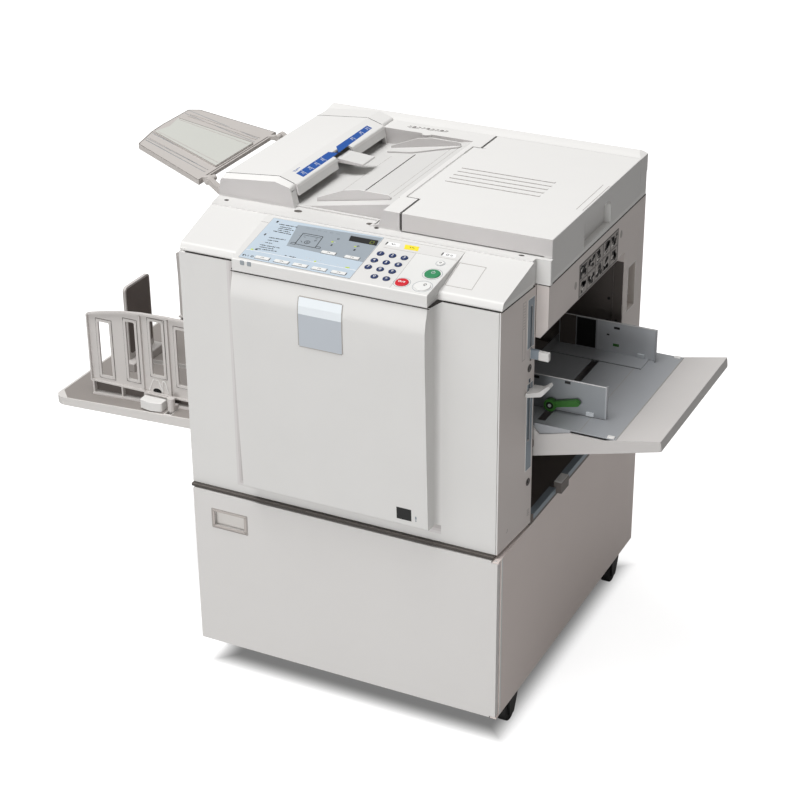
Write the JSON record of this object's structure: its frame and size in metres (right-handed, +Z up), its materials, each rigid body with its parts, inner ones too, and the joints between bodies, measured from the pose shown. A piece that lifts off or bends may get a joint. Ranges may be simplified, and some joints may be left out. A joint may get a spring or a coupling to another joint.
{
  "type": "digital duplicator",
  "caption": "Office duplicator on a cabinet with casters: hinged platen cover, original feeder, key panel, front door, feed tray and delivery tray.",
  "frame": {"origin": "centre of the outline in plan, on the floor", "axes": "+X to the machine's right, where paper is fed in; +Y to its back; +Z up"},
  "size_m": [1.1985, 0.7021, 0.9135],
  "materials": {
    "cabinet_side": "satin laminate",
    "cabinet_front": "satin laminate",
    "frame_metal": "satin paint",
    "body_plastic": "fine texture",
    "front_plastic": "fine texture",
    "top_plastic": "fine texture",
    "glass": "clear",
    "white_foam": "white foam pad",
    "tray_plastic": "translucent warm grey",
    "membrane": "satin film",
    "sheet_metal": "satin paint",
    "green_plastic": "smooth",
    "feed_plastic": "fine texture",
    "delivery_plastic": "fine texture",
    "fence_plastic": "fine texture",
    "drum_metal": "brushed",
    "roller_rubber": "matt",
    "caster_plastic": "smooth",
    "caster_rubber": "matt",
    "key_green": "smooth",
    "key_red": "smooth",
    "key_white": "smooth",
    "key_blue": "smooth"
  },
  "bodies": {
    "machine": {"cabinet_shell": "cabinet_side", "base_frame": "frame_metal", "inner_frame": "frame_metal", "left_side_cover": "body_plastic", "right_front_cover": "body_plastic", "upper_right_cover": "body_plastic", "rear_cover": "body_plastic", "scanner_housing": "top_plastic", "exposure_glass": "glass", "feeder_housing": "top_plastic", "exit_tray_arms": "tray_plastic", "operation_panel": "top_plastic", "panel_overlay": "membrane", "delivery_tray": "delivery_plastic"},
    "cabinet_door_body": {"cabinet_door": "cabinet_front"},
    "front_door_body": {"front_door": "front_plastic"},
    "platen_body": {"platen_cover": "top_plastic", "platen_pad": "white_foam"},
    "feeder_cover_body": {"feeder_cover": "top_plastic"},
    "release_tab_body": {"feeder_release_tab": "top_plastic"},
    "guide_front_body": {"original_guide_front": "top_plastic"},
    "guide_rear_body": {"original_guide_rear": "top_plastic"},
    "exit_tray_body": {"original_exit_tray": "tray_plastic"},
    "carriage_body": {"feed_tray_carriage": "frame_metal"},
    "feed_tray_body": {"feed_tray": "feed_plastic", "feed_tray_floor": "sheet_metal"},
    "side_plate_front_body": {"side_plate_front": "sheet_metal"},
    "side_plate_rear_body": {"side_plate_rear": "sheet_metal"},
    "lock_body": {"side_plate_lock": "green_plastic"},
    "pressure_lever_body": {"feed_pressure_lever": "front_plastic"},
    "separation_lever_body": {"separation_lever": "front_plastic"},
    "fence_front_body": {"delivery_fence_front": "fence_plastic"},
    "fence_rear_body": {"delivery_fence_rear": "fence_plastic"},
    "end_fence_body": {"delivery_end_fence": "fence_plastic"},
    "fence_knob_body": {"delivery_fence_knob": "front_plastic"},
    "drum_body": {"print_drum": "drum_metal"},
    "roller_body": {"paper_feed_roller": "roller_rubber"},
    "fork_front_left": {"caster_fork_front_left": "caster_plastic"},
    "wheel_front_left": {"caster_wheel_front_left": "caster_rubber"},
    "fork_front_right": {"caster_fork_front_right": "caster_plastic"},
    "wheel_front_right": {"caster_wheel_front_right": "caster_rubber"},
    "fork_rear_left": {"caster_fork_rear_left": "caster_plastic"},
    "wheel_rear_left": {"caster_wheel_rear_left": "caster_rubber"},
    "fork_rear_right": {"caster_fork_rear_right": "caster_plastic"},
    "wheel_rear_right": {"caster_wheel_rear_right": "caster_rubber"},
    "start_key_body": {"start_key": "key_green"},
    "stop_key_body": {"stop_key": "key_red"},
    "proof_key_body": {"proof_key": "key_white"},
    "reset_key_body": {"reset_key": "key_white"},
    "number_key_1_body": {"number_key_1": "key_blue"},
    "number_key_2_body": {"number_key_2": "key_blue"},
    "number_key_3_body": {"number_key_3": "key_blue"},
    "number_key_4_body": {"number_key_4": "key_blue"},
    "number_key_5_body": {"number_key_5": "key_blue"},
    "number_key_6_body": {"number_key_6": "key_blue"},
    "number_key_7_body": {"number_key_7": "key_blue"},
    "number_key_8_body": {"number_key_8": "key_blue"},
    "number_key_9_body": {"number_key_9": "key_blue"},
    "number_key_10_body": {"number_key_10": "key_blue"},
    "number_key_11_body": {"number_key_11": "key_blue"}
  },
  "joints": [
    {"name": "cabinet_door_hinge", "type": "hinge", "parent": "machine", "child": "cabinet_door_body", "pos_m": [0.36875, -0.3155, 0.37], "axis": [0, 0, 1], "range_deg": [0, 110]},
    {"name": "front_door_hinge", "type": "hinge", "parent": "machine", "child": "front_door_body", "pos_m": [-0.21625, -0.304, 0.8234], "axis": [0, 0, -1], "range_deg": [0, 100]},
    {"name": "platen_cover_hinge", "type": "hinge", "parent": "machine", "child": "platen_body", "pos_m": [0.10825, -0.1045, 0.892], "axis": [0, -1, 0], "range_deg": [0, 70]},
    {"name": "feeder_cover_hinge", "type": "hinge", "parent": "machine", "child": "feeder_cover_body", "pos_m": [-0.21925, -0.1435, 0.89], "axis": [0, -1, 0], "range_deg": [0, 60]},
    {"name": "release_tab_hinge", "type": "hinge", "parent": "feeder_cover_body", "child": "release_tab_body", "pos_m": [-0.09025, -0.001, 0.8925], "axis": [0, -1, 0], "range_deg": [0, 15]},
    {"name": "guide_front_slide", "type": "slide", "parent": "machine", "child": "guide_front_body", "axis": [0, 1, 0], "range_m": [-0.018, 0.07]},
    {"name": "guide_rear_slide", "type": "slide", "parent": "machine", "child": "guide_rear_body", "axis": [0, -1, 0], "range_m": [-0.018, 0.07]},
    {"name": "exit_tray_hinge", "type": "hinge", "parent": "machine", "child": "exit_tray_body", "pos_m": [-0.27925, -0.075, 0.868], "axis": [0, 1, 0], "range_deg": [0, 70]},
    {"name": "feed_tray_lift", "type": "slide", "parent": "machine", "child": "carriage_body", "axis": [0, 0, 1], "range_m": [-0.05, 0.04]},
    {"name": "feed_tray_fold", "type": "hinge", "parent": "carriage_body", "child": "feed_tray_body", "pos_m": [0.36875, -0.1823, 0.53], "axis": [0, -1, 0], "range_deg": [0, 60]},
    {"name": "side_plate_front_slide", "type": "slide", "parent": "feed_tray_body", "child": "side_plate_front_body", "axis": [0, 1, 0], "range_m": [-0.026, 0.04]},
    {"name": "side_plate_rear_slide", "type": "slide", "parent": "feed_tray_body", "child": "side_plate_rear_body", "axis": [0, -1, 0], "range_m": [-0.026, 0.04]},
    {"name": "side_plate_lock_hinge", "type": "hinge", "parent": "side_plate_front_body", "child": "lock_body", "pos_m": [0.38175, -0.125, 0.5785], "axis": [0, -1, 0], "range_deg": [0, 70]},
    {"name": "pressure_lever_slide", "type": "slide", "parent": "machine", "child": "pressure_lever_body", "axis": [0, 0, 1], "range_m": [0, 0.07]},
    {"name": "separation_lever_slide", "type": "slide", "parent": "machine", "child": "separation_lever_body", "axis": [0, 0, -1], "range_m": [0, 0.025]},
    {"name": "fence_front_slide", "type": "slide", "parent": "machine", "child": "fence_front_body", "axis": [0, 1, 0], "range_m": [-0.006, 0.08]},
    {"name": "fence_rear_slide", "type": "slide", "parent": "machine", "child": "fence_rear_body", "axis": [0, -1, 0], "range_m": [-0.006, 0.08]},
    {"name": "end_fence_slide", "type": "slide", "parent": "machine", "child": "end_fence_body", "axis": [0.9984, 0, 0.0573], "range_m": [-0.02, 0.1]},
    {"name": "fence_knob_press", "type": "slide", "parent": "fence_front_body", "child": "fence_knob_body", "axis": [0, 1, 0], "range_m": [0, 0.003], "stiffness_N_per_m": 400, "springref_m": -0.002},
    {"name": "drum_spin", "type": "hinge", "parent": "machine", "child": "drum_body", "pos_m": [0.04875, -0.1865, 0.6], "axis": [0, 1, 0], "continuous": true},
    {"name": "roller_spin", "type": "hinge", "parent": "machine", "child": "roller_body", "pos_m": [0.24875, -0.1865, 0.7], "axis": [0, 1, 0], "continuous": true},
    {"name": "swivel_front_left", "type": "hinge", "parent": "machine", "child": "fork_front_left", "pos_m": [-0.20025, -0.227, 0.065], "axis": [0, 0, 1], "continuous": true},
    {"name": "roll_front_left", "type": "hinge", "parent": "fork_front_left", "child": "wheel_front_left", "pos_m": [-0.20025, -0.239, 0.02], "axis": [1, 0, 0], "continuous": true},
    {"name": "swivel_front_right", "type": "hinge", "parent": "machine", "child": "fork_front_right", "pos_m": [0.35875, -0.227, 0.065], "axis": [0, 0, 1], "continuous": true},
    {"name": "roll_front_right", "type": "hinge", "parent": "fork_front_right", "child": "wheel_front_right", "pos_m": [0.35875, -0.239, 0.02], "axis": [1, 0, 0], "continuous": true},
    {"name": "swivel_rear_left", "type": "hinge", "parent": "machine", "child": "fork_rear_left", "pos_m": [-0.20025, 0.279, 0.065], "axis": [0, 0, 1], "continuous": true},
    {"name": "roll_rear_left", "type": "hinge", "parent": "fork_rear_left", "child": "wheel_rear_left", "pos_m": [-0.20025, 0.267, 0.02], "axis": [1, 0, 0], "continuous": true},
    {"name": "swivel_rear_right", "type": "hinge", "parent": "machine", "child": "fork_rear_right", "pos_m": [0.35875, 0.279, 0.065], "axis": [0, 0, 1], "continuous": true},
    {"name": "roll_rear_right", "type": "hinge", "parent": "fork_rear_right", "child": "wheel_rear_right", "pos_m": [0.35875, 0.267, 0.02], "axis": [1, 0, 0], "continuous": true},
    {"name": "start_key_press", "type": "slide", "parent": "machine", "child": "start_key_body", "axis": [0, 0.1392, -0.9903], "range_m": [0, 0.002], "stiffness_N_per_m": 400, "springref_m": -0.001},
    {"name": "stop_key_press", "type": "slide", "parent": "machine", "child": "stop_key_body", "axis": [0, 0.1392, -0.9903], "range_m": [0, 0.002], "stiffness_N_per_m": 400, "springref_m": -0.001},
    {"name": "proof_key_press", "type": "slide", "parent": "machine", "child": "proof_key_body", "axis": [0, 0.1392, -0.9903], "range_m": [0, 0.002], "stiffness_N_per_m": 400, "springref_m": -0.001},
    {"name": "reset_key_press", "type": "slide", "parent": "machine", "child": "reset_key_body", "axis": [0, 0.1392, -0.9903], "range_m": [0, 0.002], "stiffness_N_per_m": 400, "springref_m": -0.001},
    {"name": "number_key_1_press", "type": "slide", "parent": "machine", "child": "number_key_1_body", "axis": [0, 0.1392, -0.9903], "range_m": [0, 0.002], "stiffness_N_per_m": 400, "springref_m": -0.001},
    {"name": "number_key_2_press", "type": "slide", "parent": "machine", "child": "number_key_2_body", "axis": [0, 0.1392, -0.9903], "range_m": [0, 0.002], "stiffness_N_per_m": 400, "springref_m": -0.001},
    {"name": "number_key_3_press", "type": "slide", "parent": "machine", "child": "number_key_3_body", "axis": [0, 0.1392, -0.9903], "range_m": [0, 0.002], "stiffness_N_per_m": 400, "springref_m": -0.001},
    {"name": "number_key_4_press", "type": "slide", "parent": "machine", "child": "number_key_4_body", "axis": [0, 0.1392, -0.9903], "range_m": [0, 0.002], "stiffness_N_per_m": 400, "springref_m": -0.001},
    {"name": "number_key_5_press", "type": "slide", "parent": "machine", "child": "number_key_5_body", "axis": [0, 0.1392, -0.9903], "range_m": [0, 0.002], "stiffness_N_per_m": 400, "springref_m": -0.001},
    {"name": "number_key_6_press", "type": "slide", "parent": "machine", "child": "number_key_6_body", "axis": [0, 0.1392, -0.9903], "range_m": [0, 0.002], "stiffness_N_per_m": 400, "springref_m": -0.001},
    {"name": "number_key_7_press", "type": "slide", "parent": "machine", "child": "number_key_7_body", "axis": [0, 0.1392, -0.9903], "range_m": [0, 0.002], "stiffness_N_per_m": 400, "springref_m": -0.001},
    {"name": "number_key_8_press", "type": "slide", "parent": "machine", "child": "number_key_8_body", "axis": [0, 0.1392, -0.9903], "range_m": [0, 0.002], "stiffness_N_per_m": 400, "springref_m": -0.001},
    {"name": "number_key_9_press", "type": "slide", "parent": "machine", "child": "number_key_9_body", "axis": [0, 0.1392, -0.9903], "range_m": [0, 0.002], "stiffness_N_per_m": 400, "springref_m": -0.001},
    {"name": "number_key_10_press", "type": "slide", "parent": "machine", "child": "number_key_10_body", "axis": [0, 0.1392, -0.9903], "range_m": [0, 0.002], "stiffness_N_per_m": 400, "springref_m": -0.001},
    {"name": "number_key_11_press", "type": "slide", "parent": "machine", "child": "number_key_11_body", "axis": [0, 0.1392, -0.9903], "range_m": [0, 0.002], "stiffness_N_per_m": 400, "springref_m": -0.001}
  ],
  "couplings": [
    {"joint": "guide_rear_slide", "follows": "guide_front_slide", "ratio": 1},
    {"joint": "side_plate_rear_slide", "follows": "side_plate_front_slide", "ratio": 1},
    {"joint": "fence_rear_slide", "follows": "fence_front_slide", "ratio": 1}
  ]
}
